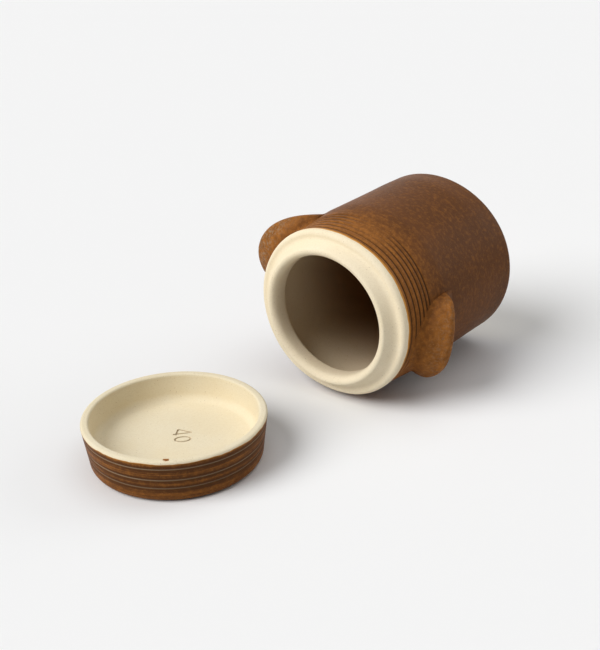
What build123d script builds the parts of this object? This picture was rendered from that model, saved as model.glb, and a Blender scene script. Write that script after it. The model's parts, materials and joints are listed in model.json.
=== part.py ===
from build123d import *
from math import acos, atan2, cos, hypot, pi, sin
import os

# Salt-glazed stoneware crock with two thrown-on ear lugs and a loose cap lid.
# It is shown as it lies in the photograph: the jar on its side, mouth towards -Y,
# and the lid taken off and set upside down on the table in front of it.
# Millimetres, +Z up. The origin is the middle of the whole part's footprint,
# on the table.

# Jar wall: its widest radius, and how far it draws in at the neck, shoulder and foot
JAR_RADIUS = 48.0
NECK_INSET = 1.1
SHOULDER_INSET = 2.6
FOOT_INSET = 0.6
SHOULDER_HEIGHT = 97.0
NECK_DROP = 12.0
BELLY_DROP = 27.0
JAR_WALL = 5.5
JAR_FLOOR = 7.0
FOOT_ROUNDING = 4.0
INNER_CORNER_ROUNDING = 8.0

# Thrown lines round the neck
NECK_LINE_COUNT = 6
NECK_LINE_PITCH = 3.1
NECK_LINE_DEPTH = 0.4
NECK_LINE_ROUNDING = 0.8
NECK_LINE_START = 2.05

# Bare rim, in heights above the shoulder and insets from it: a bead that carries
# the lid, a cove, and a collar with a round lip
BEAD_STRAIGHT = 2.7
BEAD_RISE = 5.6
BEAD_WIDTH = 2.0
COVE_RISE = 4.5
COVE_INSET = 4.0
FLANK_RISE = 6.4
FLANK_INSET = 6.2
LIP_CENTRE_RISE = 8.7
LIP_INSET = 10.45
LIP_ROUNDING = 2.25

# Under the rim the bore ends in a crease, behind which the jar opens out
THROAT_RISE = 1.0
THROAT_WIDTH = 3.4
THROAT_DROP = 0.2
VAULT_DROP = 6.0

# Ear lugs, measured from the shoulder line down the wall. Their ends sag towards
# the foot, and each was pressed on a little aslant, one end lower than the other.
LUG_REACH = 16.3
LUG_HALF_ANGLE = 37.0
LUG_END_ANGLE = 36.2
LUG_SWELL_POWER = 0.8
LUG_TOP_DROP = 5.1
LUG_FOOT_DROP = 39.3
LUG_THICKNESS = 7.8
LUG_LEAN = 3.2
LUG_SAG = 16.5
LUG_TILT = 4.5
LUG_ROUNDING = 3.4
LUG_ROOT = 3.0
LUG_SECTIONS = 11
LEFT_LUG_ANGLE = 161.9
RIGHT_LUG_ANGLE = -9.3

# Lid, in heights above the table as it lies on its top
LID_HEIGHT = 23.5
LID_SETBACK = 0.4
LID_SEAT_CLEARANCE = 0.8
LID_TAPER = 2.6
LID_FLOOR = 9.2
LID_DRAFT = 0.9
LID_TOP_ROUNDING = 1.7
LID_RIM_ROUNDING = 1.2
LID_CAVITY_ROUNDING = 4.5
LID_LINE_COUNT = 3
LID_LINE_PITCH = 4.7
LID_LINE_START = 7.5
LID_LINE_DEPTH = 0.45
LID_LINE_ROUNDING = 0.9

# Where the lid lies from the jar's mouth
LID_GAP = 39.4
LID_ASIDE = 27.2

# Pull of each curve's ends, and sizes of the lug that follow its reach
RIM_BEND_SHARE = 0.5
LUG_BACK_STEEP_SHARE = 0.55
LUG_BACK_LEAD_SHARE = 0.12
LUG_BACK_RUNOUT_SHARE = 0.5
LUG_END_THICKNESS_SHARE = 0.45

SHOULDER_RADIUS = JAR_RADIUS - SHOULDER_INSET
INNER_RADIUS = JAR_RADIUS - JAR_WALL
LIP_RADIUS = SHOULDER_RADIUS - LIP_INSET
BORE_RADIUS = LIP_RADIUS - LIP_ROUNDING
MOUTH_RISE = LIP_CENTRE_RISE + LIP_ROUNDING
LID_RADIUS = SHOULDER_RADIUS - LID_SETBACK
LID_TOP_RADIUS = LID_RADIUS - LID_TAPER


def wall_points():
    # Outside of the jar's wall from foot to shoulder, in radius and height
    return [
        (JAR_RADIUS - FOOT_INSET, FOOT_ROUNDING),
        (JAR_RADIUS, SHOULDER_HEIGHT - BELLY_DROP),
        (JAR_RADIUS - NECK_INSET, SHOULDER_HEIGHT - NECK_DROP),
        (SHOULDER_RADIUS, SHOULDER_HEIGHT),
    ]


def wall_radius(height):
    # Outside radius of the jar's wall at a height
    points = wall_points()
    for (low_radius, low), (high_radius, high) in zip(points, points[1:]):
        if height <= high:
            break
    return low_radius + (high_radius - low_radius) * (height - low) / (high - low)


def collar_radius(rise):
    # Outside radius of the collar's sloping flank at a height above the shoulder
    share = (rise - COVE_RISE) / (FLANK_RISE - COVE_RISE)
    return SHOULDER_RADIUS - COVE_INSET - (FLANK_INSET - COVE_INSET) * share


def outer_wall_edges():
    turn_radius = JAR_RADIUS - FOOT_INSET - FOOT_ROUNDING
    foot = Line((0, 0), (turn_radius, 0))
    foot_turn = CenterArc((turn_radius, FOOT_ROUNDING), FOOT_ROUNDING, -90, 90)
    points = wall_points()
    return [foot, foot_turn] + [Line(low, high) for low, high in zip(points, points[1:])]


def lip_start():
    # Where the collar's straight flank runs tangent into the round of the lip,
    # in radius and rise from the lip's centre
    across = LIP_INSET - FLANK_INSET
    down = LIP_CENTRE_RISE - FLANK_RISE
    turn = acos(LIP_ROUNDING / hypot(across, down)) - atan2(down, across)
    return LIP_ROUNDING * cos(turn), LIP_ROUNDING * sin(turn)


def rim_edges():
    shoulder = SHOULDER_HEIGHT
    bend = RIM_BEND_SHARE
    bead_foot = (SHOULDER_RADIUS, shoulder + BEAD_STRAIGHT)
    crest = (SHOULDER_RADIUS - BEAD_WIDTH, shoulder + BEAD_RISE)
    cove = (SHOULDER_RADIUS - COVE_INSET, shoulder + COVE_RISE)
    flank = (SHOULDER_RADIUS - FLANK_INSET, shoulder + FLANK_RISE)
    out, up = lip_start()
    lip_out = (LIP_RADIUS + out, shoulder + LIP_CENTRE_RISE + up)
    lip_top = (LIP_RADIUS, shoulder + MOUTH_RISE)
    lip_in = (BORE_RADIUS, shoulder + LIP_CENTRE_RISE)
    bead_up = bend * (BEAD_RISE - BEAD_STRAIGHT)
    cove_in = bend * (COVE_INSET - BEAD_WIDTH)
    flank_in = bend * (FLANK_INSET - COVE_INSET)
    rise = bend * (FLANK_RISE - COVE_RISE)
    slope = (flank[0] - lip_out[0]) / (lip_out[1] - flank[1])
    bead = Bezier(
        bead_foot,
        (bead_foot[0], bead_foot[1] + bead_up),
        (crest[0] + bend * BEAD_WIDTH, crest[1]),
        crest,
    )
    cove_low = Bezier(crest, (crest[0] - cove_in, crest[1]), (cove[0] + cove_in, cove[1]), cove)
    cove_high = Bezier(
        cove, (cove[0] - flank_in, cove[1]), (flank[0] + slope * rise, flank[1] - rise), flank
    )
    return [
        Line((SHOULDER_RADIUS, shoulder), bead_foot),
        bead,
        cove_low,
        cove_high,
        Line(flank, lip_out),
        ThreePointArc(lip_out, lip_top, lip_in),
    ]


def inner_wall_edges():
    shoulder = SHOULDER_HEIGHT
    turn = INNER_CORNER_ROUNDING
    lip_in = (BORE_RADIUS, shoulder + LIP_CENTRE_RISE)
    throat = (BORE_RADIUS, shoulder + THROAT_RISE)
    throat_back = (BORE_RADIUS + THROAT_WIDTH, shoulder - THROAT_DROP)
    vault = (INNER_RADIUS, shoulder - VAULT_DROP)
    corner_up = (INNER_RADIUS, JAR_FLOOR + turn)
    corner_in = (INNER_RADIUS - turn, JAR_FLOOR)
    return [
        Line(lip_in, throat),
        Line(throat, throat_back),
        Spline(throat_back, vault, tangents=[(1, 0), (0, -1)]),
        Line(vault, corner_up),
        RadiusArc(corner_up, corner_in, turn),
        Line(corner_in, (0, JAR_FLOOR)),
        Line((0, JAR_FLOOR), (0, 0)),
    ]


def turned(edges):
    # Solid of revolution about the upright axis from an outline in radius and height
    outline = make_face(Plane.XZ * (Curve() + edges))
    return revolve(outline, Axis.Z)


def ring_cut(radius, height, depth, rounding):
    # Round-bottomed line of a given depth round a wall
    return Pos(0, 0, height) * Torus(radius + rounding - depth, rounding)


def make_jar_body():
    body = turned(outer_wall_edges() + rim_edges() + inner_wall_edges())
    for index in range(NECK_LINE_COUNT):
        height = SHOULDER_HEIGHT - NECK_LINE_START - index * NECK_LINE_PITCH
        body -= ring_cut(wall_radius(height), height, NECK_LINE_DEPTH, NECK_LINE_ROUNDING)
    return body


def make_wall_core():
    # The jar's outer form without thrown lines, closed at the shoulder
    shoulder = (SHOULDER_RADIUS, SHOULDER_HEIGHT)
    middle = (0, SHOULDER_HEIGHT)
    return turned(outer_wall_edges() + [Line(shoulder, middle), Line(middle, (0, 0))])


def lug_section(angle):
    # Closed outline of the lug at an angle from its middle, in radius and height:
    # a leaning face towards the mouth, a round edge, and a hollow back that runs
    # out into the wall. Its root lies inside the wall, which trims it afterwards.
    share = abs(angle) / LUG_HALF_ANGLE
    swell = cos(pi / 2 * share)
    reach = LUG_REACH * swell ** LUG_SWELL_POWER
    end_share = LUG_END_THICKNESS_SHARE
    thickness = LUG_THICKNESS * (end_share + (1 - end_share) * swell)
    rounding = LUG_ROUNDING * swell
    turn = angle / LUG_END_ANGLE
    top = SHOULDER_HEIGHT - LUG_TOP_DROP - LUG_SAG * turn ** 2 - LUG_TILT * turn
    foot = SHOULDER_HEIGHT - LUG_FOOT_DROP
    root = wall_radius(top) - LUG_ROOT
    edge = wall_radius(top) + reach
    face_high = top - LUG_LEAN * reach / LUG_REACH
    face_low = face_high - thickness
    span = face_low - foot
    face_start = (root, top)
    face_end = (edge - rounding, face_high)
    nose_top = (edge, face_high - rounding)
    nose_low = (edge, face_low + rounding)
    back_start = (edge - rounding, face_low)
    back_end = (root, foot)
    steep = (edge - rounding - LUG_BACK_STEEP_SHARE * reach, face_low - LUG_BACK_LEAD_SHARE * span)
    runout = (wall_radius(foot), foot + LUG_BACK_RUNOUT_SHARE * span)
    edges = [
        Line(face_start, face_end),
        RadiusArc(face_end, nose_top, rounding),
        Line(nose_top, nose_low),
        RadiusArc(nose_low, back_start, rounding),
        Bezier(back_start, steep, runout, back_end),
        Line(back_end, face_start),
    ]
    outline = make_face(Plane.XZ * (Curve() + edges))
    return Rot(0, 0, angle) * outline


def make_lug():
    # The lug on the jar's +X side, trimmed face to face to the wall
    step = 2 * LUG_END_ANGLE / (LUG_SECTIONS - 1)
    angles = [step * index - LUG_END_ANGLE for index in range(LUG_SECTIONS)]
    return loft([lug_section(place) for place in angles]) - make_wall_core()


def lay_on_side(piece):
    # The standing jar is turned over, mouth to -Y, until its belly meets the table
    return Pos(0, SHOULDER_HEIGHT, JAR_RADIUS) * Rot(90, 0, 0) * piece


def make_lid():
    cavity_radius = collar_radius(BEAD_RISE) + LID_SEAT_CLEARANCE
    floor_radius = cavity_radius - LID_DRAFT
    edge = LID_TOP_ROUNDING
    rim = LID_RIM_ROUNDING
    turn = LID_CAVITY_ROUNDING
    edges = [
        Line((0, 0), (LID_TOP_RADIUS - edge, 0)),
        CenterArc((LID_TOP_RADIUS - edge, edge), edge, -90, 90),
        Line((LID_TOP_RADIUS, edge), (LID_RADIUS, LID_HEIGHT - rim)),
        CenterArc((LID_RADIUS - rim, LID_HEIGHT - rim), rim, 0, 90),
        Line((LID_RADIUS - rim, LID_HEIGHT), (cavity_radius + rim, LID_HEIGHT)),
        CenterArc((cavity_radius + rim, LID_HEIGHT - rim), rim, 90, 90),
        Line((cavity_radius, LID_HEIGHT - rim), (floor_radius, LID_FLOOR + turn)),
        RadiusArc((floor_radius, LID_FLOOR + turn), (floor_radius - turn, LID_FLOOR), turn),
        Line((floor_radius - turn, LID_FLOOR), (0, LID_FLOOR)),
        Line((0, LID_FLOOR), (0, 0)),
    ]
    lid = turned(edges)
    for index in range(LID_LINE_COUNT):
        height = LID_LINE_START + index * LID_LINE_PITCH
        radius = LID_TOP_RADIUS + LID_TAPER * height / LID_HEIGHT
        lid -= ring_cut(radius, height, LID_LINE_DEPTH, LID_LINE_ROUNDING)
    return Pos(-LID_ASIDE, -MOUTH_RISE - LID_GAP - LID_RADIUS, 0) * lid


def make_parts():
    lug = make_lug()
    parts = {
        "jar_body": lay_on_side(make_jar_body()),
        "left_lug": lay_on_side(Rot(0, 0, LEFT_LUG_ANGLE) * lug),
        "right_lug": lay_on_side(Rot(0, 0, RIGHT_LUG_ANGLE) * lug),
        "lid": make_lid(),
    }
    box = Compound(list(parts.values())).bounding_box()
    middle = box.center()
    return {name: Pos(-middle.X, -middle.Y, -box.min.Z) * piece for name, piece in parts.items()}


os.makedirs("parts", exist_ok=True)
for name, piece in make_parts().items():
    export_step(piece, f"parts/{name}.step")
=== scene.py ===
"""Salt-glazed stoneware crock lying on its side, with its cap lid upside down beside it."""

import json
from math import atan2, cos, degrees, exp, hypot, pi, radians, sin

import bpy
from bpy.props import FloatProperty, FloatVectorProperty, IntProperty, PointerProperty
from mathutils import Matrix, Vector

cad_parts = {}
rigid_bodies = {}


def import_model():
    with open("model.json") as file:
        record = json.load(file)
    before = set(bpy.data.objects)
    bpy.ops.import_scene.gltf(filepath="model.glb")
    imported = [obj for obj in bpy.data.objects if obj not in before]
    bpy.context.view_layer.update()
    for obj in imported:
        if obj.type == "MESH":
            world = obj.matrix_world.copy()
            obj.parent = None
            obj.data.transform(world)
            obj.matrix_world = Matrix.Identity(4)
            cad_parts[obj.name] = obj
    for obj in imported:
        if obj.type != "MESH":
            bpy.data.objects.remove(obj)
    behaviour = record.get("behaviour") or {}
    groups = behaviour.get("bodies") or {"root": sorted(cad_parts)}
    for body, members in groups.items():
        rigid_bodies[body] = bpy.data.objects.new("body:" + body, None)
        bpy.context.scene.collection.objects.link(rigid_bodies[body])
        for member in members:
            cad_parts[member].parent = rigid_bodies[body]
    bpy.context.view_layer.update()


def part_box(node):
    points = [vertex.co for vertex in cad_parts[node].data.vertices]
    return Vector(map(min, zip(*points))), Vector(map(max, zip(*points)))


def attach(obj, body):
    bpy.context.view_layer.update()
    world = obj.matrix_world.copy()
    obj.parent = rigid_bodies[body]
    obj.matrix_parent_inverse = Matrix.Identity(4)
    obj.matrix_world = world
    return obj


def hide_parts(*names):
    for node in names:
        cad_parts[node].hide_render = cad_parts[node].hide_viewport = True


bl_info = {
    "name": "Stoneware crock with cap lid",
    "version": (1, 0, 0),
    "blender": (4, 5, 0),
    "location": "3D View > Sidebar > Crock",
    "description": "Makes a salt-glazed crock with ear lugs and its cap lid",
    "category": "Add Mesh",
}

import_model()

# Places in the frame: the jar lies along Y with its mouth towards -Y, and the lid's axis is Z
MM = 0.001
JAR_LOW, JAR_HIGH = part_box("jar_body")
LID_LOW, LID_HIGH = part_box("lid")
COLLAR_HEIGHT = 10.95 * MM
AXIS_X = (JAR_LOW.x + JAR_HIGH.x) / 2
AXIS_Z = (JAR_LOW.z + JAR_HIGH.z) / 2
SHOULDER_Y = JAR_LOW.y + COLLAR_HEIGHT
LID_X = (LID_LOW.x + LID_HIGH.x) / 2
LID_Y = (LID_LOW.y + LID_HIGH.y) / 2

# Sizes that the panel doesn't offer, in mm
JAR_RADIUS = 48
NECK_RADIUS = 45.2
INNER_CORNER = 8
LID_TOP_ROUNDING = 4.2
LID_RIM_ROUNDING = 1.4
LID_LIP_ROUNDING = 1.2
LID_DRAFT = 0.9
LID_CORNER = 4.5
LUG_NOSE = 3.7
LUG_FLARE = 2.2

# How far a grey line and its dark band fade out up and down the lid, in mm
LID_LINE_FADE = 0.42
LID_BAND_FADE = 1.7

# Steps round a turned piece, and from end to end of a lug
TURN_STEPS = 256
LUG_STEPS = 26

# Share of its spread at which a lug ends, and of its thickness that it has there
LUG_END = 0.98
LUG_END_THICKNESS = 0.45

# Angle from a lug's middle at which its sag and tilt are reached, in degrees
LUG_SAG_ANGLE = 36.2

# The lugs differ, as pressed by hand: place and spreads in degrees, lengths in mm
LEFT_LUG = {
    "angle": 161.1,
    "spread": 37.5,
    "back_spread": 41.1,
    "taper": 0.92,
    "back_taper": 1.06,
    "sag": 19.4,
    "back_sag": 15.6,
    "reach": 17.3,
    "thickness": 6.6,
    "top": 5.2,
    "tilt": 3.4,
    "lean": 3.4,
    "foot": 39.3,
}
RIGHT_LUG = {
    "angle": -18.4,
    "spread": 32.1,
    "back_spread": 39.6,
    "taper": 0.41,
    "back_taper": 1.21,
    "sag": 24.5,
    "back_sag": 19.1,
    "reach": 14.6,
    "thickness": 6.9,
    "top": 7.1,
    "tilt": -3.0,
    "lean": 6.5,
    "foot": 39.3,
}

# The size figures as strokes across and up from their middle, drawn 9 mm high
FIGURE_DRAWN_HEIGHT = 9
FOUR_SLANT = ((-3.6, 4.5), (-6.3, -2.6))
FOUR_BAR = ((-6.3, -2.6), (-0.5, -2.9))
FOUR_STEM = ((-3.6, 4.5), (-1.3, -4.5))
NOUGHT_TURNS = [pi * step / 16 for step in range(33)]
NOUGHT = [(3 + 2.3 * sin(turn) - 0.4 * cos(turn), 1 + 3.7 * cos(turn)) for turn in NOUGHT_TURNS]
FIGURE_ACROSS = Vector((0.566, -0.824, 0))
FIGURE_UP = Vector((0.824, 0.566, 0))
FIGURE_SHIFT = 3.75 * MM
FIGURE_SINK = 0.2 * MM

# Widths of the patterns, from real clay and glaze. Grit, iron specks and flecks are about
# 0.3 mm wide in the real ones, too fine for the render, and are drawn as coarse as they
# need to show
CLAY_CLOUD = 22 * MM
CLAY_GRAIN = 0.8 * MM
IRON_SPECK = 0.7 * MM
GLAZE_CLOUD = 45 * MM
GLAZE_MOTTLE = 2.4 * MM
ORANGE_PEEL = 0.9 * MM
GLAZE_FLECK = 0.75 * MM
SALT_BLOOM = 1.6 * MM
JAR_STREAK = 1.3 * MM
LUG_STREAK = 3.0 * MM
LID_STREAK = 1.1 * MM
LINE_BREAK = 5.0 * MM
EDGE_WANDER = 9 * MM
SPOT_RAG = 1.2 * MM

# Scale of a pattern round its piece, which draws it out into rings, as the wheel does
RINGED = 0.03

# How much of the finer detail most patterns keep
FINE = 0.55

# Setting of a Map Range node that eases in and out between its two ends
EASED = {"interpolation_type": "SMOOTHSTEP"}

# Colours that tint the main ones
CLAY_WARM = "#e6d3aa"
CLAY_SPECK = "#9a7c50"
CLAY_SHADE = "#c8b080"
GLAZE_EDGE = "#d8963f"
FLOOR_BOUNCE = "#d6d6d6"

# The glaze drop on the lid's lip, from the lid's middle on the table
SPOT_PLACE = (LID_X + 26.2 * MM, LID_Y - 33.4 * MM, 23.5 * MM)

# Each lamp's azimuth from +X, height above the floor and width in degrees, and its strength
LAMPS = {
    "key_lamp": (244, 43, 42, 2.6),
    "top_lamp": (75, 76, 60, 0.72),
    "back_lamp": (60, 20, 38, 0.62),
}
ROOM_LIGHT = 0.15
FLOOR_WIDTH = 12.0

# The camera, fitted to the traced circles of rim, shoulder, foot and lid
CAMERA_PLACE = Vector((AXIS_X + 365.14 * MM, SHOULDER_Y - 482.18 * MM, 326.77 * MM))
CAMERA_RIGHT = Vector((0.78782, 0.61489, -0.03531))
CAMERA_UP = Vector((-0.23805, 0.35687, 0.90331))
CAMERA_LENS = 78
CAMERA_SENSOR = 36


def linear(hex_text):
    """Turns an sRGB hex value to the linear colour that nodes use"""
    channels = [int(hex_text[place:place + 2], 16) / 255 for place in (1, 3, 5)]
    return tuple(c / 12.92 if c <= 0.04045 else ((c + 0.055) / 1.055) ** 2.4 for c in channels)


def length_prop(name, description, millimetres, least=0):
    return FloatProperty(
        name=name,
        description=description,
        default=millimetres * MM,
        min=least * MM,
        unit="LENGTH",
        subtype="DISTANCE",
    )


def angle_prop(name, description, in_degrees):
    return FloatProperty(
        name=name,
        description=description,
        default=radians(in_degrees),
        unit="ROTATION",
        subtype="ANGLE",
    )


def share_prop(name, description, share):
    return FloatProperty(name=name, description=description, default=share, min=0.1)


def colour_prop(name, description, hex_text):
    return FloatVectorProperty(
        name=name,
        description=description,
        default=linear(hex_text),
        min=0.0,
        max=1.0,
        size=3,
        subtype="COLOR",
    )


class CrockJarSizes(bpy.types.PropertyGroup):
    """Sizes of the thrown jar"""

    wall: length_prop("Wall", "Thickness of the jar's wall", 5.5)
    floor: length_prop("Floor", "Thickness of the jar's floor", 7.0)
    foot_rounding: length_prop("Foot rounding", "Rounding at the foot", 4.0)
    line_count: IntProperty(
        name="Neck lines", description="Thrown lines round the neck", default=6, min=1
    )
    line_start: length_prop("First line", "From the shoulder to the first line", 2.0)
    line_pitch: length_prop("Line pitch", "From the first thrown line to the second", 3.7)
    line_closing: length_prop("Line closing", "How much nearer each line is than the one before", 0.3)
    line_width: length_prop("Line width", "Width of a thrown line", 1.4)
    line_depth: length_prop("Line depth", "Depth of a thrown line", 0.45)
    slump: length_prop("Slump", "How far the foot slumped on top before firing", 2.0)


def lug_props(own):
    """Properties of one ear lug, with its own sizes as their defaults"""
    return {
        "angle": angle_prop("Place", "Where the lug's middle sits round the jar", own["angle"]),
        "spread": angle_prop("Spread", "From the lug's middle to its anticlockwise end", own["spread"]),
        "back_spread": angle_prop(
            "Back spread", "From the lug's middle to its clockwise end", own["back_spread"]
        ),
        "taper": share_prop("Taper", "How soon the anticlockwise end thins", own["taper"]),
        "back_taper": share_prop("Back taper", "How soon the clockwise end thins", own["back_taper"]),
        "reach": length_prop("Reach", "How far the lug stands off the wall", own["reach"]),
        "thickness": length_prop("Thickness", "Thickness at the middle of the lug", own["thickness"]),
        "top": length_prop("Top", "From the shoulder to the lug's face at its middle", own["top"]),
        "sag": length_prop("Sag", "How far the anticlockwise end droops to the foot", own["sag"]),
        "back_sag": length_prop(
            "Back sag", "How far the clockwise end droops to the foot", own["back_sag"]
        ),
        "tilt": length_prop("Tilt", "How much lower the anticlockwise end sits", own["tilt"], -20),
        "lean": length_prop("Lean", "How far the lug's edge leans towards the foot", own["lean"]),
        "foot": length_prop("Foot", "From the shoulder to where the lug's back ends", own["foot"]),
    }


class CrockLeftLugSizes(bpy.types.PropertyGroup):
    """Sizes of the left ear lug"""

    __annotations__ = lug_props(LEFT_LUG)


class CrockRightLugSizes(bpy.types.PropertyGroup):
    """Sizes of the right ear lug"""

    __annotations__ = lug_props(RIGHT_LUG)


class CrockLidSizes(bpy.types.PropertyGroup):
    """Sizes of the cap lid"""

    taper: length_prop("Taper", "How much the lid narrows to its top", 2.6)
    floor: length_prop("Top thickness", "Thickness of the lid's top", 9.2)
    cavity_radius: length_prop("Cavity radius", "Inside radius at the lid's rim", 40.93)
    low_line: length_prop("Low line", "From the lid's top to the first grey line", 8.2)
    middle_line: length_prop("Middle line", "From the lid's top to the second grey line", 12.9)
    high_line: length_prop("High line", "From the lid's top to the third grey line", 19.1)
    line_depth: length_prop("Line depth", "Depth of a grey line", 0.35)
    glaze_edge: length_prop("Glaze edge", "Height at which the glaze ends", 22.3)
    figure_height: length_prop("Figure height", "Height of the impressed figures", 9.0)
    figure_depth: length_prop("Figure depth", "Depth of the impressed figures", 0.55)


class CrockColours(bpy.types.PropertyGroup):
    """Colours of clay, glaze and floor"""

    # Drawn paler than the lid's clay of the same stoneware: partly the rim's own paleness, partly painted
    # light
    rim: colour_prop("Rim", "Bare stoneware at the jar's rim, palest of all", "#fbedd0")
    clay: colour_prop("Clay", "Bare stoneware", "#ece1c6")
    # Painted shade: the brown laid on the clay where shade falls, deep in the jar and in the lid's figures
    shade_paint_colour: colour_prop("Deep clay", "Stoneware browned by the kiln inside", "#7c5228")
    amber: colour_prop("Amber", "Thin salt glaze, as at the neck and on the lugs", "#a66a30")
    brown: colour_prop("Brown", "Salt glaze over most of the wall", "#704524")
    umber: colour_prop("Umber", "Thick, dark salt glaze", "#5a381f")
    line: colour_prop("Line", "Dark glaze that settled in the thrown lines", "#3a2614")
    salt: colour_prop("Salt", "Pale grey bloom of salt", "#9c866c")
    fleck: colour_prop("Fleck", "Light flecks in the thin glaze", "#b07a42")
    floor: colour_prop("Floor", "Studio floor and backdrop", "#f4f4f4")


def bend(start, lead, follow, end, steps):
    """Points of a curve in (radius, depth), without its first"""
    points = []
    for index in range(1, steps + 1):
        t = index / steps
        weights = ((1 - t) ** 3, 3 * t * (1 - t) ** 2, 3 * t * t * (1 - t), t ** 3)
        corners = (start, lead, follow, end)
        points.append(tuple(sum(w * c[axis] for w, c in zip(weights, corners)) for axis in (0, 1)))
    return points


def arc(centre, radius, first, last, steps):
    """Points of an arc in (radius, depth), without its first; degrees from +radius to +depth"""
    points = []
    for index in range(1, steps + 1):
        turn = radians(first + (last - first) * index / steps)
        points.append((centre[0] + radius * cos(turn), centre[1] + radius * sin(turn)))
    return points


def run(start, end, steps):
    """Points of a straight run, without its first"""
    shares = [index / steps for index in range(1, steps + 1)]
    return [tuple(a + (b - a) * share for a, b in zip(start, end)) for share in shares]


def neck_points():
    """Outside of the wall from the shoulder to the foot's rounding, in mm of radius and depth"""
    shoulder = (NECK_RADIUS, 0)
    neck = bend(shoulder, (45.0, 8), (46.7, 18), (47.45, 30), 150)
    return [shoulder] + neck + bend(neck[-1], (47.2, 52), (46.9, 70), (47.4, 93), 28)


def wall_radius(depth):
    """Outside radius of the wall at a depth below the shoulder, both in mm"""
    points = neck_points()
    for (near_radius, near), (far_radius, far) in zip(points, points[1:]):
        if depth <= far:
            return near_radius + (far_radius - near_radius) * (depth - near) / (far - near)
    return points[-1][0]


def jar_outline(sizes):
    """Closed outline of the thrown jar from its inner floor over the rim to its foot, in mm"""
    wall = sizes.wall / MM
    foot = (JAR_HIGH.y - SHOULDER_Y) / MM
    inner_floor = foot - sizes.floor / MM
    inner = JAR_RADIUS - wall
    corner = inner - INNER_CORNER
    points = [(0, inner_floor)]
    points += run(points[-1], (corner, inner_floor), 8)
    points += arc((corner, inner_floor - INNER_CORNER), INNER_CORNER, 90, 0, 10)
    points += run(points[-1], (inner, 10), 14)
    # Vault, throat and bore
    points += bend((inner, 10), (inner, 4.5), (40.5, 0.2), (36.6, 0.25), 12)
    points += bend(points[-1], (35.2, 0.3), (33.4, -0.1), (32.75, -1.3), 8)
    points += bend(points[-1], (32.4, -2.2), (32.6, -5), (32.7, -7), 8)
    # Lip
    points += bend(points[-1], (32.8, -9.4), (34, -10.95), (35.7, -10.95), 12)
    points += bend(points[-1], (36.7, -10.95), (37, -10.3), (37.3, -9.8), 6)
    # Flank and cove of the collar
    points += run(points[-1], (39.0, -6.9), 5)
    points += bend(points[-1], (40, -5.3), (40.9, -4.85), (42, -4.85), 10)
    # Bead on which the lid sits
    points += bend(points[-1], (42.6, -4.85), (42.8, -4.95), (43.1, -4.95), 5)
    points += bend(points[-1], (44.4, -4.95), (45.5, -3.9), (45.5, -2.4), 12)
    points += bend(points[-1], (45.5, -1.2), (45.5, -0.5), (NECK_RADIUS, 0), 6)
    # Wall and foot
    points += neck_points()[1:]
    turn = sizes.foot_rounding / MM
    points += arc((points[-1][0] - turn, foot - turn), turn, 0, 90, 10)
    points += run(points[-1], (0, foot), 8)
    return points


def lid_outline(sizes):
    """Closed outline of the lid from the middle of its top to the middle of its inside, in mm"""
    height = (LID_HIGH.z - LID_LOW.z) / MM
    rim_radius = (LID_HIGH.x - LID_LOW.x) / 2 / MM
    top_radius = rim_radius - sizes.taper / MM
    cavity = sizes.cavity_radius / MM
    floor = sizes.floor / MM
    top, rim, lip = LID_TOP_ROUNDING, LID_RIM_ROUNDING, LID_LIP_ROUNDING
    corner = cavity - LID_DRAFT - LID_CORNER
    points = [(0, 0)]
    points += run(points[0], (top_radius - top, 0), 8)
    points += arc((top_radius - top, top), top, -90, 0, 14)
    points += run(points[-1], (rim_radius, height - rim), 100)
    points += arc((rim_radius - rim, height - rim), rim, 0, 90, 8)
    points += run(points[-1], (cavity + lip, height), 3)
    points += arc((cavity + lip, height - lip), lip, 90, 180, 8)
    points += run(points[-1], (cavity - LID_DRAFT, floor + LID_CORNER), 12)
    points += arc((corner, floor + LID_CORNER), LID_CORNER, 0, -90, 12)
    points += run(points[-1], (0, floor), 8)
    return points


def select_only(piece):
    """Makes a piece the active object and the only one that operators act on"""
    bpy.ops.object.select_all(action="DESELECT")
    bpy.context.view_layer.objects.active = piece
    piece.select_set(True)


def start_piece(name, place):
    """Adds a primitive and merges it to one vertex, from which an outline is drawn"""
    if bpy.context.object and bpy.context.object.mode != "OBJECT":
        bpy.ops.object.mode_set(mode="OBJECT")
    bpy.ops.object.select_all(action="DESELECT")
    bpy.ops.mesh.primitive_plane_add(size=MM, location=place)
    bpy.context.object.name = name
    bpy.ops.object.mode_set(mode="EDIT")
    bpy.ops.mesh.select_mode(type="VERT")
    bpy.ops.mesh.select_all(action="SELECT")
    bpy.ops.mesh.merge(type="CENTER")
    return bpy.context.object


def draw(points):
    """Extrudes the selected vertex from point to point"""
    for near, far in zip(points, points[1:]):
        bpy.ops.mesh.extrude_region_move(TRANSFORM_OT_translate={"value": far - near})


def spin_round(centre, axis):
    """Spins the drawn outline once round and closes its seam and poles"""
    bpy.ops.mesh.select_all(action="SELECT")
    bpy.ops.mesh.spin(steps=TURN_STEPS, angle=2 * pi, center=centre, axis=axis)
    weld()


def weld():
    """Merges vertices that lie on one another, turns faces outwards and leaves edit mode"""
    bpy.ops.mesh.select_all(action="SELECT")
    bpy.ops.mesh.remove_doubles(threshold=0.015 * MM)
    bpy.ops.mesh.normals_make_consistent(inside=False)
    bpy.ops.object.mode_set(mode="OBJECT")


def settle(piece):
    """Puts the piece's place into its mesh, so that its object sits at the origin"""
    select_only(piece)
    bpy.ops.object.transform_apply(location=True, rotation=True, scale=True)


def smooth(piece, crease):
    """Shades the piece smooth except over creases sharper than an angle in degrees"""
    select_only(piece)
    bpy.ops.object.shade_smooth_by_angle(angle=radians(crease))


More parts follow.
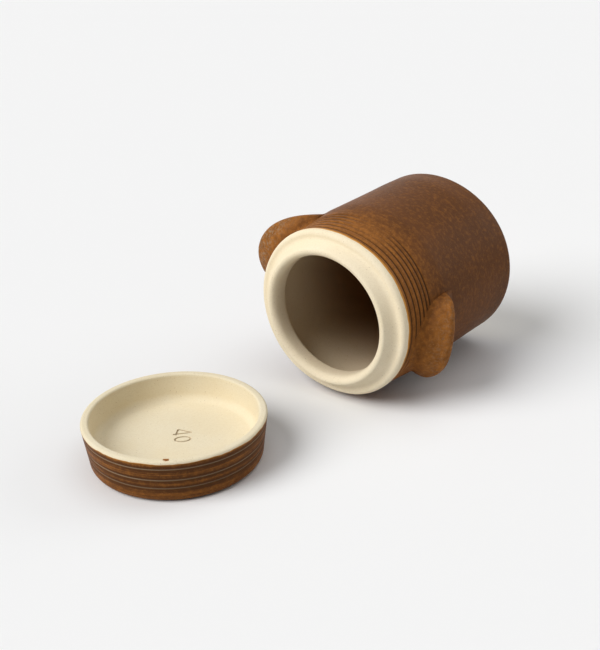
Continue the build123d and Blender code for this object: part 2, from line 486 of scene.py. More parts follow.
def push(piece, weights, distance, direction="NORMAL"):
    """Moves each vertex by its weight's share of a distance, along its normal or along Z"""
    group = piece.vertex_groups.new(name="pushed")
    for index, weight in enumerate(weights):
        if weight > 0.001:
            group.add([index], weight, "REPLACE")
    select_only(piece)
    bpy.ops.object.modifier_add(type="DISPLACE")
    displace = piece.modifiers[-1]
    displace.vertex_group = group.name
    displace.mid_level = 0.0
    displace.strength = distance
    displace.direction = direction
    bpy.ops.object.modifier_apply(modifier=displace.name)
    piece.vertex_groups.clear()


def keep_weights(piece, name, weights):
    """Keeps weights as an attribute that the glaze can read"""
    attribute = piece.data.attributes.new(name, "FLOAT", "POINT")
    attribute.data.foreach_set("value", weights)


def bump(value, middle, width):
    """A smooth hump of height 1 round a middle"""
    return exp(-((value - middle) / width) ** 2)


def ease(value, low, high):
    """Goes smoothly from 0 to 1 as a value goes from low to high"""
    share = min(max((value - low) / (high - low), 0), 1)
    return share * share * (3 - 2 * share)


def node(tree, kind, inputs=None, **settings):
    """Adds a node with its settings; an input gets a value, or a link from a socket or a node"""
    made = tree.nodes.new("ShaderNode" + kind)
    for name, value in settings.items():
        setattr(made, name, value)
    for name, value in (inputs or {}).items():
        socket = made.inputs[name]
        if isinstance(value, bpy.types.Node):
            value = next(output for output in value.outputs if output.enabled)
        if isinstance(value, bpy.types.NodeSocket):
            tree.links.new(value, socket)
        elif socket.type == "RGBA":
            socket.default_value = (*value, 1)
        else:
            socket.default_value = value
    return made


def new_material(name):
    material = bpy.data.materials.new(name)
    material.use_nodes = True
    material.node_tree.nodes.clear()
    return material


def object_place(tree, centre, stretch=(1, 1, 1)):
    """Object coordinates from a centre, stretched where the pattern runs round the piece"""
    coords = node(tree, "TexCoord").outputs["Object"]
    away = [-c * s for c, s in zip(centre, stretch)]
    return node(tree, "Mapping", {"Vector": coords, "Location": away, "Scale": stretch})


def far_from_axis(tree, apart, other):
    """Distance from the piece's axis, from X and another coordinate of the place"""
    flat = node(tree, "CombineXYZ", {0: apart.outputs[0], 1: apart.outputs[other]})
    return node(tree, "VectorMath", {0: flat}, operation="LENGTH").outputs["Value"]


def finish_material(material, colour, roughness, height, relief, shine):
    """One Principled surface for colour, roughness and relief"""
    # The photo shows hardly a highlight on glaze or clay, so both mirror little
    tree = material.node_tree
    bumps = {"Strength": 1.0, "Distance": relief, "Height": height}
    inputs = {
        "Base Color": colour,
        "Roughness": roughness,
        "Normal": node(tree, "Bump", bumps),
        "IOR": 1.5,
        "Specular IOR Level": shine,
    }
    surface = node(tree, "BsdfPrincipled", inputs)
    node(tree, "OutputMaterial", {"Surface": surface})


def clay_parts(tree, place, colours, fair, painted_shade):
    """Bare stoneware: pale, fine-grained and dry, with iron specks, and brown painted shade where the shade
    mask is high
    """
    noise = {"Vector": place, "Scale": 1 / CLAY_CLOUD, "Detail": 3, "Roughness": FINE}
    clouds = node(tree, "TexNoise", noise)
    cloud = node(tree, "MapRange", {0: clouds, 1: 0.3, 2: 0.7, 4: 0.25}, **EASED)
    grit = node(tree, "TexNoise", {"Vector": place, "Scale": 1 / CLAY_GRAIN, "Roughness": FINE})
    shade = node(tree, "MapRange", {0: grit, 1: 0.3, 2: 0.7, 4: 0.12}, **EASED)
    iron = node(tree, "TexNoise", {"Vector": place, "Scale": 1 / IRON_SPECK, "Detail": 1, "Roughness": FINE})
    specks = node(tree, "MapRange", {0: iron, 1: 0.70, 2: 0.76, 4: 0.45}, **EASED)
    colour = node(tree, "Mix", {0: cloud, 6: fair, 7: linear(CLAY_WARM)}, data_type="RGBA")
    colour = node(tree, "Mix", {0: specks, 6: colour, 7: linear(CLAY_SPECK)}, data_type="RGBA")
    colour = node(tree, "Mix", {0: shade, 6: colour, 7: linear(CLAY_SHADE)}, data_type="RGBA")
    # Painted shade: the clay turns to the shade brown where the mask is high
    colour = node(tree, "Mix", {0: painted_shade, 6: colour, 7: colours.shade_paint_colour}, data_type="RGBA")
    return colour, grit


def glaze_parts(tree, place, streaks, colours, amber, lines):
    """Salt glaze: thin brown glass with orange-peel texture, flecks, and bands from throwing"""
    noise = {"Vector": place, "Scale": 1 / GLAZE_CLOUD, "Detail": 3, "Roughness": FINE}
    clouds = node(tree, "TexNoise", noise)
    cloud = node(tree, "MapRange", {0: clouds, 1: 0.35, 2: 0.65, 3: 0.2, 4: 0.8}, **EASED)
    noise = {"Vector": place, "Scale": 1 / GLAZE_MOTTLE, "Detail": 4, "Roughness": 0.65}
    mottles = node(tree, "TexNoise", noise)
    mottle = node(tree, "MapRange", {0: mottles, 1: 0.35, 2: 0.75, 3: -0.25, 4: 0.25}, **EASED)
    thin = node(tree, "Math", {0: amber, 1: mottle}, operation="ADD", use_clamp=True)
    band = node(tree, "MapRange", {0: streaks, 1: 0.42, 2: 0.62, 4: 0.35}, **EASED)
    noise = {"Vector": place, "Scale": 1 / GLAZE_FLECK, "Detail": 1, "Roughness": FINE}
    light = node(tree, "TexNoise", noise)
    flecks = node(tree, "MapRange", {0: light, 1: 0.60, 2: 0.72}, **EASED)
    strength = node(tree, "MapRange", {0: amber, 3: 0.12, 4: 0.55}, **EASED)
    flecks = node(tree, "Math", {0: flecks, 1: strength}, operation="MULTIPLY")
    colour = node(tree, "Mix", {0: cloud, 6: colours.brown, 7: colours.umber}, data_type="RGBA")
    colour = node(tree, "Mix", {0: thin, 6: colour, 7: colours.amber}, data_type="RGBA")
    colour = node(tree, "Mix", {0: band, 6: colour, 7: colours.umber}, data_type="RGBA")
    colour = node(tree, "Mix", {0: flecks, 6: colour, 7: colours.fleck}, data_type="RGBA")
    colour = node(tree, "Mix", {0: lines, 6: colour, 7: colours.line}, data_type="RGBA")
    peel = node(tree, "TexNoise", {"Vector": place, "Scale": 1 / ORANGE_PEEL, "Roughness": FINE})
    return colour, peel


def join_glaze(material, mask, clay, glaze, edge):
    """Lays the glaze over the clay, with a thin bright orange line where the glaze runs out"""
    tree = material.node_tree
    clay_colour, grit = clay
    glaze_colour, peel = glaze
    rimmed = node(tree, "Mix", {0: edge, 6: glaze_colour, 7: linear(GLAZE_EDGE)}, data_type="RGBA")
    colour = node(tree, "Mix", {0: mask, 6: clay_colour, 7: rimmed}, data_type="RGBA")
    # The clay is dry and the salt glaze satin
    dry = node(tree, "MapRange", {0: grit, 1: 0.2, 2: 0.8, 3: 0.62, 4: 0.72}, **EASED)
    satin = node(tree, "MapRange", {0: peel, 1: 0.2, 2: 0.8, 3: 0.36, 4: 0.50}, **EASED)
    roughness = node(tree, "Mix", {0: mask, 2: dry, 3: satin})
    low_relief = node(tree, "Math", {0: grit, 1: 0.35}, operation="MULTIPLY")
    height = node(tree, "Mix", {0: mask, 2: low_relief, 3: peel})
    finish_material(material, colour, roughness, height, relief=0.09 * MM, shine=0.04)


def jar_material(colours):
    """Salt glaze on thrown stoneware, with bare clay on rim, inside and foot"""
    # Salt thrown into the hot kiln turns to thin glass on the clay, which gives the eye a satin
    # brown skin like orange peel. Where the salt didn't reach, the clay is pale and dry.
    material = new_material("salt_glaze_on_stoneware")
    tree = material.node_tree
    centre = (AXIS_X, SHOULDER_Y, AXIS_Z)
    place = object_place(tree, centre)
    rings = object_place(tree, centre, (RINGED, 1, RINGED))
    apart = node(tree, "SeparateXYZ", {0: place})
    depth = apart.outputs[1]
    # The glaze ends in a wavering line just over the bead
    waves = node(tree, "TexNoise", {"Vector": place, "Scale": 1 / EDGE_WANDER, "Roughness": FINE})
    span = {0: waves, 1: 0.2, 2: 0.8, 3: -0.35 * MM, 4: 0.35 * MM}
    wander = node(tree, "MapRange", span, **EASED)
    line = node(tree, "Math", {0: depth, 1: wander}, operation="ADD")
    glazed = node(tree, "MapRange", {0: line, 1: -1.9 * MM, 2: -1.5 * MM}, **EASED)
    outside = node(tree, "Attribute", attribute_name="outer_skin").outputs["Fac"]
    mask = node(tree, "Math", {0: outside, 1: glazed}, operation="MULTIPLY")
    span = {0: line, 1: -0.9 * MM, 2: 0.2 * MM, 3: 0.9, 4: 0.0}
    edge = node(tree, "MapRange", span, **EASED)
    # Painted shade inside the jar: the clay is drawn browner and darker the deeper it lies in bore and
    # belly, where little light reaches
    bore = node(tree, "MapRange", {0: depth, 1: -10 * MM, 2: -3 * MM, 4: 0.25}, **EASED)
    belly = node(tree, "MapRange", {0: depth, 2: 75 * MM, 3: 0.05, 4: 0.7}, **EASED)
    painted_shade = node(tree, "Math", {0: bore, 1: belly}, operation="ADD")
    above_foot = node(tree, "MapRange", {0: depth, 1: 92 * MM, 2: 91 * MM}, **EASED)
    painted_shade = node(tree, "Math", {0: painted_shade, 1: above_foot}, operation="MULTIPLY")
    radius = far_from_axis(tree, apart, 2)
    in_bore = node(tree, "MapRange", {0: radius, 1: 35.5 * MM, 2: 33.5 * MM}, **EASED)
    in_belly = node(tree, "MapRange", {0: depth, 2: 1 * MM}, **EASED)
    within = node(tree, "Math", {0: in_bore, 1: in_belly}, operation="MAXIMUM")
    inside = node(tree, "Math", {0: painted_shade, 1: within}, operation="MULTIPLY")
    lines = node(tree, "Attribute", attribute_name="line_depth").outputs["Fac"]
    grooves = node(tree, "MapRange", {0: lines, 1: 0.25, 2: 0.9, 4: 0.85}, **EASED)
    span = {0: depth, 1: 2 * MM, 2: 34 * MM, 3: 0.75, 4: 0.12}
    amber = node(tree, "MapRange", span, **EASED)
    noise = {"Vector": rings, "Scale": 1 / JAR_STREAK, "Detail": 3, "Roughness": 0.6}
    streaks = node(tree, "TexNoise", noise)
    # The jar's clay takes the paler rim colour, which is partly painted light
    clay = clay_parts(tree, place, colours, colours.rim, inside)
    glaze = glaze_parts(tree, place, streaks, colours, amber, grooves)
    join_glaze(material, mask, clay, glaze, edge)
    return material


def lug_material(colours):
    """Thin salt glaze on pressed stoneware"""
    # The lugs stood out into the fire, so the glaze on them is thin: amber, freckled and satin
    material = new_material("thin_salt_glaze_on_lug")
    tree = material.node_tree
    place = object_place(tree, (AXIS_X, SHOULDER_Y, AXIS_Z))
    apart = node(tree, "SeparateXYZ", {0: place})
    radius = far_from_axis(tree, apart, 2)
    # At its root the lug has the wall's own amber, further out its own
    span = {0: apart.outputs[1], 1: 2 * MM, 2: 34 * MM, 3: 0.75, 4: 0.12}
    wall_amber = node(tree, "MapRange", span, **EASED)
    share = node(tree, "MapRange", {0: radius, 1: 48.2 * MM, 2: 54 * MM}, **EASED)
    amber = node(tree, "Mix", {0: share, 2: wall_amber, 3: 0.8})
    noise = {"Vector": place, "Scale": 1 / LUG_STREAK, "Detail": 3, "Roughness": 0.6}
    streaks = node(tree, "TexNoise", noise)
    colour, peel = glaze_parts(tree, place, streaks, colours, amber, 0.0)
    # A grey bloom of salt freckles the lugs; on the left lug it is laid on stronger as painted sheen, where
    # the lamp catches that lug
    noise = {"Vector": place, "Scale": 1 / SALT_BLOOM, "Detail": 5, "Roughness": 0.7}
    freckles = node(tree, "TexNoise", noise)
    bloom = node(tree, "MapRange", {0: freckles, 1: 0.44, 2: 0.68}, **EASED)
    # Painted sheen: the bloom grows stronger towards the left lug
    span = {0: apart.outputs[0], 1: -30 * MM, 2: -50 * MM, 3: 0.3, 4: 0.85}
    left_lug_sheen = node(tree, "MapRange", span, **EASED)
    outwards = node(tree, "MapRange", {0: radius, 1: 48.5 * MM, 2: 56 * MM}, **EASED)
    strength = node(tree, "Math", {0: left_lug_sheen, 1: outwards}, operation="MULTIPLY")
    salted = node(tree, "Math", {0: bloom, 1: strength}, operation="MULTIPLY")
    colour = node(tree, "Mix", {0: salted, 6: colour, 7: colours.salt}, data_type="RGBA")
    satin = node(tree, "MapRange", {0: peel, 1: 0.2, 2: 0.8, 3: 0.42, 4: 0.56}, **EASED)
    finish_material(material, colour, satin, peel, relief=0.1 * MM, shine=0.03)
    return material


def lid_material(colours, sizes):
    """Salt glaze on the lid's outside, with bare clay within"""
    # The lid was thrown and glazed as the jar was, and salt settled pale grey in its three lines
    material = new_material("salt_glaze_on_lid")
    tree = material.node_tree
    centre = (LID_X, LID_Y, 0)
    place = object_place(tree, centre)
    rings = object_place(tree, centre, (RINGED, RINGED, 1))
    apart = node(tree, "SeparateXYZ", {0: place})
    radius = far_from_axis(tree, apart, 1)
    height = apart.outputs[2]
    # The glaze ends in a wavering line just under the rim
    waves = node(tree, "TexNoise", {"Vector": place, "Scale": 1 / EDGE_WANDER, "Roughness": FINE})
    span = {0: waves, 1: 0.2, 2: 0.8, 3: -0.3 * MM, 4: 0.3 * MM}
    wander = node(tree, "MapRange", span, **EASED)
    level = node(tree, "Math", {0: height, 1: wander}, operation="ADD")
    line = node(tree, "Math", {0: sizes.glaze_edge, 1: level}, operation="SUBTRACT")
    glazed = node(tree, "MapRange", {0: line, 1: -0.12 * MM, 2: 0.12 * MM}, **EASED)
    side = node(tree, "MapRange", {0: radius, 1: 42.0 * MM, 2: 42.2 * MM}, **EASED)
    below = node(tree, "MapRange", {0: height, 1: 8 * MM, 2: 7 * MM}, **EASED)
    outside = node(tree, "Math", {0: side, 1: below}, operation="MAXIMUM")
    mask = node(tree, "Math", {0: outside, 1: glazed}, operation="MULTIPLY")
    span = {0: line, 1: 0.1 * MM, 2: 0.6 * MM, 3: 0.6, 4: 0.0}
    edge = node(tree, "MapRange", span, **EASED)
    # A drop of glaze fell on the lip
    from_spot = object_place(tree, SPOT_PLACE)
    spot_far = node(tree, "VectorMath", {0: from_spot}, operation="LENGTH").outputs["Value"]
    rags = node(tree, "TexNoise", {"Vector": place, "Scale": 1 / SPOT_RAG, "Roughness": FINE})
    span = {0: rags, 1: 0.2, 2: 0.8, 3: -0.6 * MM, 4: 0.6 * MM}
    ragged = node(tree, "MapRange", span, **EASED)
    spot_far = node(tree, "Math", {0: spot_far, 1: ragged}, operation="ADD")
    spot = node(tree, "MapRange", {0: spot_far, 1: 1.9 * MM, 2: 1.4 * MM}, **EASED)
    mask = node(tree, "Math", {0: mask, 1: spot}, operation="MAXIMUM")
    edge = node(tree, "Math", {0: edge, 1: spot}, operation="SUBTRACT", use_clamp=True)
    # Dark bands of thick glaze lie beside the grey lines
    noise = {"Vector": rings, "Scale": 1 / LID_STREAK, "Detail": 3, "Roughness": 0.65}
    streaks = node(tree, "TexNoise", noise)
    span = {0: streaks, 1: 0.35, 2: 0.65, 3: 0.75, 4: 0.35}
    thin = node(tree, "MapRange", span, **EASED)
    bands = node(tree, "Attribute", attribute_name="dark_band").outputs["Fac"]
    amber = node(tree, "Math", {0: thin, 1: bands}, operation="SUBTRACT", use_clamp=True)
    dark = node(tree, "Math", {0: bands, 1: 0.28}, operation="MULTIPLY")
    colour, peel = glaze_parts(tree, place, streaks, colours, amber, dark)
    lines = node(tree, "Attribute", attribute_name="line_depth").outputs["Fac"]
    grooves = node(tree, "MapRange", {0: lines, 1: 0.25, 2: 0.9}, **EASED)
    breaks = node(tree, "TexNoise", {"Vector": rings, "Scale": 1 / LINE_BREAK, "Roughness": FINE})
    broken = node(tree, "MapRange", {0: breaks, 1: 0.3, 2: 0.7, 3: 0.4, 4: 0.9}, **EASED)
    salted = node(tree, "Math", {0: grooves, 1: broken}, operation="MULTIPLY")
    colour = node(tree, "Mix", {0: salted, 6: colour, 7: colours.salt}, data_type="RGBA")
    # Painted shade darkens the clay in the impressed figures
    near, far = sizes.floor - 0.05 * MM, sizes.floor - 0.35 * MM
    sunk = node(tree, "MapRange", {0: height, 1: near, 2: far, 4: 0.35}, **EASED)
    middle = node(tree, "MapRange", {0: radius, 1: 30 * MM, 2: 29 * MM}, **EASED)
    figures = node(tree, "Math", {0: sunk, 1: middle}, operation="MULTIPLY")
    clay = clay_parts(tree, place, colours, colours.clay, figures)
    join_glaze(material, mask, clay, (colour, peel), edge)
    return material


class CROCK_OT_jar(bpy.types.Operator):
    """Throw the jar: draw its outline, spin it round and press in the neck lines"""

    bl_idname = "crock.add_jar"
    bl_label = "Add jar"

    def execute(self, context):
        sizes = context.scene.crock_jar
        outline = [jar_place(point) for point in jar_outline(sizes)]
        jar = start_piece("thrown_jar", outline[0])
        draw(outline)
        spin_round((AXIS_X, 0, AXIS_Z), (0, 1, 0))
        settle(jar)
        lines = neck_line_weights(jar, sizes)
        keep_weights(jar, "line_depth", lines)
        keep_weights(jar, "outer_skin", outer_skin_weights(jar))
        push(jar, lines, -sizes.line_depth)
        sunk, raised = slump_weights(jar)
        push(jar, sunk, -sizes.slump, "Z")
        push(jar, raised, sizes.slump, "Z")
        smooth(jar, 40)
        jar.data.materials.append(jar_material(context.scene.crock_colours))
        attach(jar, "jar")
        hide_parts("jar_body")
        return {"FINISHED"}


def jar_place(point):
    """Place in the frame of a point of radius and depth in mm, drawn out from the jar's axis"""
    radius, depth = point
    return Vector((AXIS_X + radius * MM, SHOULDER_Y + depth * MM, AXIS_Z))


def neck_line_weights(jar, sizes):
    """How deep each vertex lies in the thrown neck lines, which were half wiped away on top"""
    inside, last_depth = 44.3 * MM, 22 * MM
    # Middle and width round the jar in degrees, 90 being the top
    wiped_place, sharp_place = (75, 16), (20, 50)
    weights = []
    for vertex in jar.data.vertices:
        across, up = vertex.co.x - AXIS_X, vertex.co.z - AXIS_Z
        depth = vertex.co.y - SHOULDER_Y
        if hypot(across, up) < inside or not 0 < depth < last_depth:
            weights.append(0.0)
            continue
        turn = degrees(atan2(up, across))
        groove = 0.0
        for index in range(sizes.line_count):
            spacing = sizes.line_pitch - (index - 1) * sizes.line_closing / 2
            groove = max(groove, bump(depth, sizes.line_start + index * spacing, sizes.line_width / 2))
        wiped = bump(turn, *wiped_place) * min(1, max(0, depth / (5 * MM) - 0.8))
        sharp = 0.75 + 0.25 * bump(turn, *sharp_place)
        weights.append(groove * (1 - 0.8 * wiped) * sharp)
    return weights


def outer_skin_weights(jar):
    """1 on the outside of wall and bead, 0 inside and under the foot"""
    bead, foot_rounding = 43.3 * MM, 44.5 * MM
    weights = []
    for vertex in jar.data.vertices:
        radius = hypot(vertex.co.x - AXIS_X, vertex.co.z - AXIS_Z)
        bare = bead if vertex.co.y < SHOULDER_Y + 90 * MM else foot_rounding
        weights.append(1.0 if radius > bare else 0.0)
    return weights


def slump_weights(jar):
    """How far each vertex of the soft jar sank on top, at foot and rim, and rose under the rim"""
    # Middle and width round the jar in degrees, 90 being the top
    rim_place, foot_place, under_place = (77, 28), (72, 52), (-98, 26)
    sunk, raised = [], []
    for vertex in jar.data.vertices:
        across, up = (vertex.co.x - AXIS_X) / MM, (vertex.co.z - AXIS_Z) / MM
        depth = (vertex.co.y - SHOULDER_Y) / MM
        turn = degrees(atan2(up, across))
        outer = ease(hypot(across, up), 38, 43)
        rim = 0.75 * outer * (1 - ease(depth, 4, 26)) * bump(turn, *rim_place)
        foot = bump(turn, *foot_place) * ease(depth, 76, 98)
        sunk.append(max(foot, rim))
        raised.append(0.6 * outer * (1 - ease(depth, -3, 2)) * bump(turn, *under_place))
    return sunk, raised


def lug_outline(lug, turn):
    """One slice of a lug, in mm of radius and depth: a flared face, a round edge and a hollow back"""
    if turn > 0:
        spread, taper, sag = lug.spread, lug.taper, lug.sag
    else:
        spread, taper, sag = lug.back_spread, lug.back_taper, lug.back_sag
    share = turn / LUG_SAG_ANGLE
    swell = max(cos(pi / 2 * min(abs(radians(turn)) / spread, 1)), 0.02)
    reach = lug.reach / MM * swell ** taper
    lean = lug.lean / MM * swell ** taper
    thick = lug.thickness / MM * (LUG_END_THICKNESS + (1 - LUG_END_THICKNESS) * swell)
    top = (lug.top + sag * share ** 2 + lug.tilt * share) / MM
    face, back = top + lean, top + lean + thick
    foot = max(lug.foot / MM, back + 1.5)
    nose = min(LUG_NOSE, 0.48 * thick) * swell ** 0.5
    flare = min(LUG_FLARE, 0.35 * reach)
    swollen = 0.05 * reach
    edge = wall_radius(top) + reach
    # The face flares up from the wall
    start = (wall_radius(max(top - flare - 0.8, 0)) - 0.7, top - flare - 0.8)
    low = (wall_radius(max(top - flare, 0)) - 0.05, top - flare)
    risen = (wall_radius(top) + flare, top + lean * flare / (reach + 0.01) - 0.1)
    lead = (low[0] + 0.25 * flare, low[1] + 0.7 * flare)
    follow = (risen[0] - 0.6 * flare, risen[1] - 0.1)
    points = [start, low]
    points += bend(low, lead, follow, risen, 5)
    # It swells a little on its way to the edge
    crown = (edge - nose, face)
    lead = (risen[0] + 0.3 * reach, risen[1] - swollen + 0.3 * lean)
    follow = (crown[0] - 0.25 * reach, crown[1] - swollen - 0.25 * lean)
    points += bend(risen, lead, follow, crown, 6)
    points += arc((edge - nose, face + nose), nose, -90, 0, 5)
    points += run(points[-1], (edge, back - nose), 2)
    points += arc((edge - nose, back - nose), nose, 0, 90, 5)
    # The hollow back runs out on the wall, and the root lies inside it
    span = foot - back
    root = wall_radius(foot)
    steep = (edge - nose - 0.5 * reach, back + 0.12 * span)
    runout = (root + 0.3, foot - 0.5 * span)
    points += bend(points[-1], steep, runout, (root - 0.5, foot), 14)
    points += run(points[-1], (root - 3, foot), 1)
    points += run(points[-1], (start[0] - 2.1, start[1]), 8)
    return points


def add_lug(name, lug, material):
    """Draws the lug slice by slice round the jar and bridges each slice to the next"""
    first, last = -LUG_END * degrees(lug.back_spread), LUG_END * degrees(lug.spread)
    piece = None
    for index in range(LUG_STEPS + 1):
        turn = first + (last - first) * index / LUG_STEPS
        outline = [jar_place(point) for point in lug_outline(lug, turn)]
        if piece is None:
            piece = start_piece(name, outline[0])
        else:
            bpy.ops.mesh.select_all(action="DESELECT")
            bpy.ops.mesh.primitive_plane_add(size=MM, location=outline[0])
            bpy.ops.mesh.merge(type="CENTER")
        draw(outline + [outline[0]])
        bpy.ops.mesh.select_linked()
        bpy.ops.mesh.remove_doubles(threshold=0.01 * MM)
        bpy.ops.transform.rotate(
            value=lug.angle + radians(turn), orient_axis="Y", center_override=(AXIS_X, 0, AXIS_Z)
        )
    bpy.ops.mesh.select_all(action="SELECT")
    bpy.ops.mesh.bridge_edge_loops()
    bpy.ops.mesh.select_all(action="SELECT")
    bpy.ops.mesh.fill_holes(sides=0)
    bpy.ops.mesh.normals_make_consistent(inside=False)
    bpy.ops.object.mode_set(mode="OBJECT")
    settle(piece)
    bpy.ops.object.modifier_add(type="SUBSURF")
    rounded = piece.modifiers[-1]
    rounded.levels = 1
    rounded.render_levels = 1
    bpy.ops.object.modifier_apply(modifier=rounded.name)
    smooth(piece, 60)
    piece.data.materials.append(material)
    return piece


class CROCK_OT_lugs(bpy.types.Operator):
    """Press the two ear lugs onto the neck"""

    bl_idname = "crock.add_lugs"
    bl_label = "Add lugs"

    def execute(self, context):
        scene = context.scene
        material = lug_material(scene.crock_colours)
        for name, node_name, lug in (
            ("pressed_lug_left", "left_lug", scene.crock_left_lug),
            ("pressed_lug_right", "right_lug", scene.crock_right_lug),
        ):
            piece = add_lug(name, lug, material)
            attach(piece, "jar")
            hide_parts(node_name)
        return {"FINISHED"}


class CROCK_OT_lid(bpy.types.Operator):
    """Throw the lid, press in its lines and impress its size figures"""

    bl_idname = "crock.add_lid"
    bl_label = "Add lid"

    def execute(self, context):
        sizes = context.scene.crock_lid
        outline = [
            Vector((LID_X + radius * MM, LID_Y, height * MM)) for radius, height in lid_outline(sizes)
        ]
        lid = start_piece("cap_lid", outline[0])
        draw(outline)
        spin_round((LID_X, LID_Y, 0), (0, 0, 1))
        settle(lid)
        for stroke in figure_strokes(sizes):
            impress(lid, stroke, sizes.figure_depth)
        lines, bands = lid_line_weights(lid, sizes)
        keep_weights(lid, "line_depth", lines)
        keep_weights(lid, "dark_band", bands)
        push(lid, lines, -sizes.line_depth)
        smooth(lid, 40)
        lid.data.materials.append(lid_material(context.scene.crock_colours, sizes))
        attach(lid, "lid")
        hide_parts("lid")
        return {"FINISHED"}


def figure_strokes(sizes):
    """The strokes of the size figures 4 and 0 as places on the lid's inside floor"""
    middle = Vector((LID_X, LID_Y + FIGURE_SHIFT, sizes.floor - FIGURE_SINK))
    scale = sizes.figure_height / FIGURE_DRAWN_HEIGHT
    strokes = []
    for stroke in (FOUR_SLANT, FOUR_BAR, FOUR_STEM, NOUGHT):
        strokes.append([middle + (u * FIGURE_ACROSS + v * FIGURE_UP) * scale for u, v in stroke])
    return strokes


def impress(piece, stroke, depth):
    """Presses a groove with a rounded bottom along a stroke into a piece"""
    die = start_piece("stroke", stroke[0])
    draw(stroke)
    weld()
    settle(die)
    bpy.ops.object.convert(target="CURVE")
    die.data.bevel_depth = depth
    die.data.bevel_resolution = 3
    die.data.use_fill_caps = True
    bpy.ops.object.convert(target="MESH")
    bpy.ops.object.mode_set(mode="EDIT")
    weld()
    select_only(piece)
    bpy.ops.object.modifier_add(type="BOOLEAN")
    cut = piece.modifiers[-1]
    cut.operation = "DIFFERENCE"
    cut.solver = "EXACT"
    cut.object = die
    bpy.ops.object.modifier_apply(modifier=cut.name)
    bpy.data.objects.remove(die)


def lid_line_weights(lid, sizes):
    """How deep each vertex lies in the lid's grey lines, and how dark the glaze is beside them"""
    side, rim = 42 * MM, 22 * MM
    places = (sizes.low_line, sizes.middle_line, sizes.high_line)
    lines, bands = [], []
    for vertex in lid.data.vertices:
        radius = hypot(vertex.co.x - LID_X, vertex.co.y - LID_Y)
        height = vertex.co.z
        if radius < side or height > rim:
            lines.append(0.0)
            bands.append(0.0)
            continue
        lines.append(max(bump(height, place, LID_LINE_FADE * MM) for place in places))
        bands.append(max(bump(height, place, LID_BAND_FADE * MM) for place in places))
    return lines, bands


class CROCK_OT_stage(bpy.types.Operator):
    """Set the pale floor, the soft studio light and the camera"""

    bl_idname = "crock.set_stage"
    bl_label = "Set stage"

    def execute(self, context):
        scene = context.scene
        scene.view_settings.view_transform = "Standard"
        set_floor(scene.crock_colours)
        set_light(scene)
        set_camera(scene)
        return {"FINISHED"}


def set_floor(colours):
    """A plain pale floor that keeps the crock's shadow"""
    bpy.ops.object.select_all(action="DESELECT")
    bpy.ops.mesh.primitive_plane_add(size=FLOOR_WIDTH, location=(0, 0, 0))
    floor = bpy.context.object
    floor.name = "studio_floor"
    # Matt studio paper: the eye sees it nearly white, and the crock gets less light back from it
    material = new_material("studio_paper")
    tree = material.node_tree
    tones = {0: seen_rays(tree), 6: linear(FLOOR_BOUNCE), 7: colours.floor}
    tone = node(tree, "Mix", tones, data_type="RGBA")
    surface = node(tree, "BsdfDiffuse", {"Color": tone})
    node(tree, "OutputMaterial", {"Surface": surface})
    floor.data.materials.append(material)


def seen_rays(tree):
    """1 for rays that show the backdrop to the eye, in a mirror or through glass, 0 for the rest"""
    rays = node(tree, "LightPath").outputs
    shining = {0: rays["Is Glossy Ray"], 1: rays["Is Transmission Ray"]}
    mirrored = node(tree, "Math", shining, operation="MAXIMUM")
    return node(tree, "Math", {0: rays["Is Camera Ray"], 1: mirrored}, operation="MAXIMUM")


def set_light(scene):
    """A broad soft lamp from the upper left, a softer one overhead and a low one from behind"""
    world = bpy.data.worlds.new("studio_world")
    world.use_nodes = True
    tree = world.node_tree
    tree.nodes.clear()
    backdrop = node(tree, "Background", {"Color": scene.crock_colours.floor, "Strength": 1.0})
    room = node(tree, "Background", {"Color": (1, 1, 1), "Strength": ROOM_LIGHT})
    chosen = node(tree, "MixShader", {0: seen_rays(tree), 1: room, 2: backdrop})
    node(tree, "OutputWorld", {"Surface": chosen})
    scene.world = world
    for name, (azimuth, height, width, strength) in LAMPS.items():
        add_lamp(scene, name, radians(azimuth), radians(height), radians(width), strength)


def add_lamp(scene, name, azimuth, height, width, strength):
    """A soft lamp, far off, at an azimuth from +X and a height above the floor"""
    lamp = bpy.data.lights.new(name, "SUN")
    lamp.angle = width
    lamp.energy = strength
    stand = bpy.data.objects.new(name, lamp)
    scene.collection.objects.link(stand)
    towards = Vector((cos(height) * cos(azimuth), cos(height) * sin(azimuth), sin(height)))
    stand.rotation_mode = "QUATERNION"
    stand.rotation_quaternion = (-towards).to_track_quat("-Z", "Y")


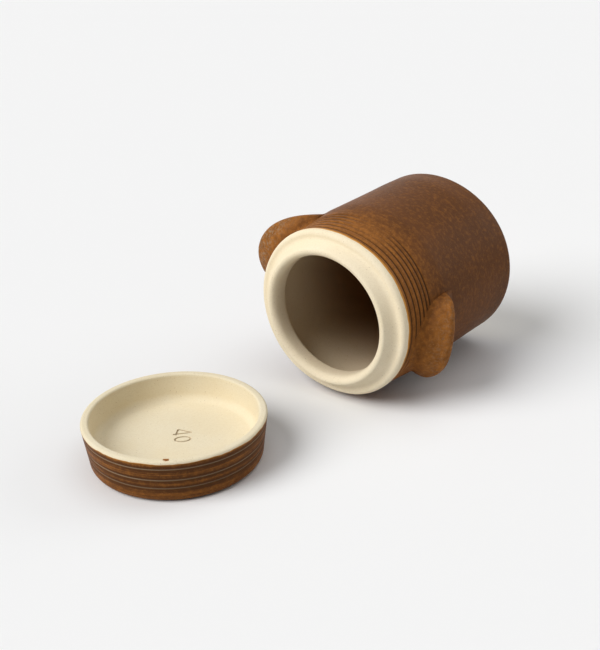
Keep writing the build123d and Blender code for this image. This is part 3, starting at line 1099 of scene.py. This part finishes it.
def set_camera(scene):
    """The camera stands in front, to the right and above, as the photograph's did"""
    camera = bpy.data.cameras.new("studio_camera")
    camera.sensor_fit = "HORIZONTAL"
    camera.sensor_width = CAMERA_SENSOR
    camera.lens = CAMERA_LENS
    stand = bpy.data.objects.new("studio_camera", camera)
    scene.collection.objects.link(stand)
    turned = Matrix((CAMERA_RIGHT, CAMERA_UP, CAMERA_RIGHT.cross(CAMERA_UP))).transposed()
    stand.matrix_world = Matrix.Translation(CAMERA_PLACE) @ turned.to_4x4()
    scene.camera = stand


class CROCK_PT_panel(bpy.types.Panel):
    """Lists the crock's sizes and pieces in the sidebar"""

    bl_idname = "CROCK_PT_panel"
    bl_label = "Stoneware crock"
    bl_space_type = "VIEW_3D"
    bl_region_type = "UI"
    bl_category = "Crock"

    def draw(self, context):
        for name in SETTINGS:
            box = self.layout.box()
            group = getattr(context.scene, name)
            for prop in group.__annotations__:
                box.prop(group, prop)
        for operator in (CROCK_OT_jar, CROCK_OT_lugs, CROCK_OT_lid, CROCK_OT_stage):
            self.layout.operator(operator.bl_idname)


SETTINGS = {
    "crock_jar": CrockJarSizes,
    "crock_left_lug": CrockLeftLugSizes,
    "crock_right_lug": CrockRightLugSizes,
    "crock_lid": CrockLidSizes,
    "crock_colours": CrockColours,
}
CLASSES = (
    CrockJarSizes,
    CrockLeftLugSizes,
    CrockRightLugSizes,
    CrockLidSizes,
    CrockColours,
    CROCK_OT_jar,
    CROCK_OT_lugs,
    CROCK_OT_lid,
    CROCK_OT_stage,
    CROCK_PT_panel,
)


def register():
    for cls in CLASSES:
        bpy.utils.register_class(cls)
    for name, group in SETTINGS.items():
        setattr(bpy.types.Scene, name, PointerProperty(type=group))


def unregister():
    for name in SETTINGS:
        delattr(bpy.types.Scene, name)
    for cls in reversed(CLASSES):
        bpy.utils.unregister_class(cls)


def main():
    register()
    bpy.ops.crock.add_jar()
    bpy.ops.crock.add_lugs()
    bpy.ops.crock.add_lid()
    bpy.ops.crock.set_stage()


if __name__ == "__main__":
    main()
